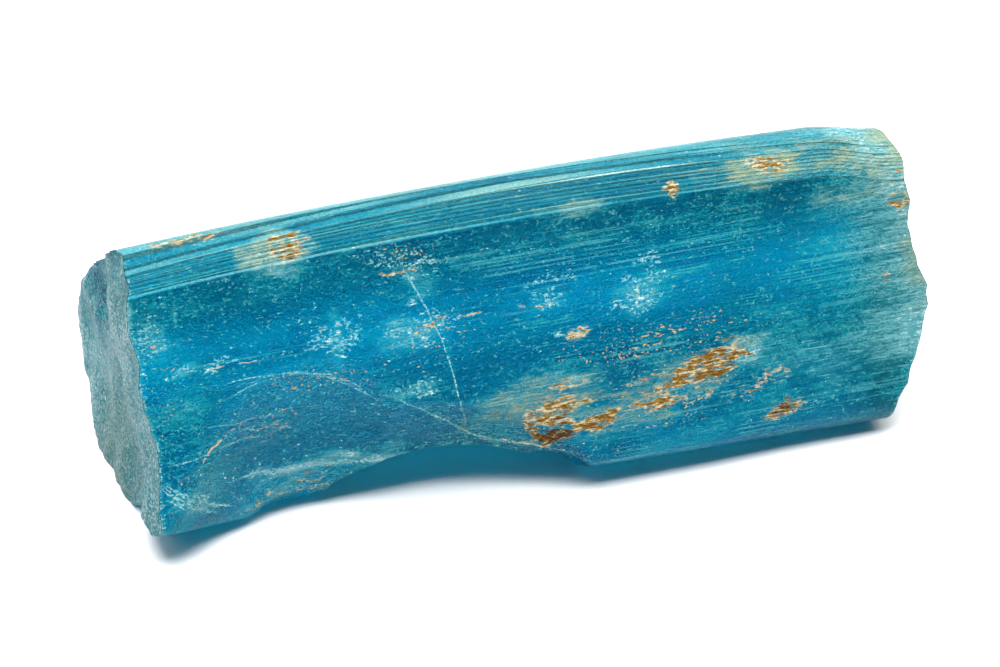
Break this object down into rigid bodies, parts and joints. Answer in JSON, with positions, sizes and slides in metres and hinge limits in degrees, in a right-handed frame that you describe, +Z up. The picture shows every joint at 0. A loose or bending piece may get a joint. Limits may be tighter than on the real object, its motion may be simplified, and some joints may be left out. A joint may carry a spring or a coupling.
{
  "type": "blue tourmaline crystal",
  "caption": "Natural blue tourmaline prism with a striated crest, a spalled front edge and two broken ends, lying on a natural flat.",
  "frame": {"origin": "centre of the bounding box's base, on the flat that the crystal lies on", "axes": "+X along the prism from the picture's left end to its right end, +Y from the striated front face to the back, +Z up"},
  "size_m": [0.0468, 0.0168, 0.0163],
  "materials": {
    "crystal": "clear to cloudy blue crystal, striated along its length, with pale haze and iron-brown stains"
  },
  "bodies": {
    "root": {"crystal": "crystal"}
  },
  "joints": []
}
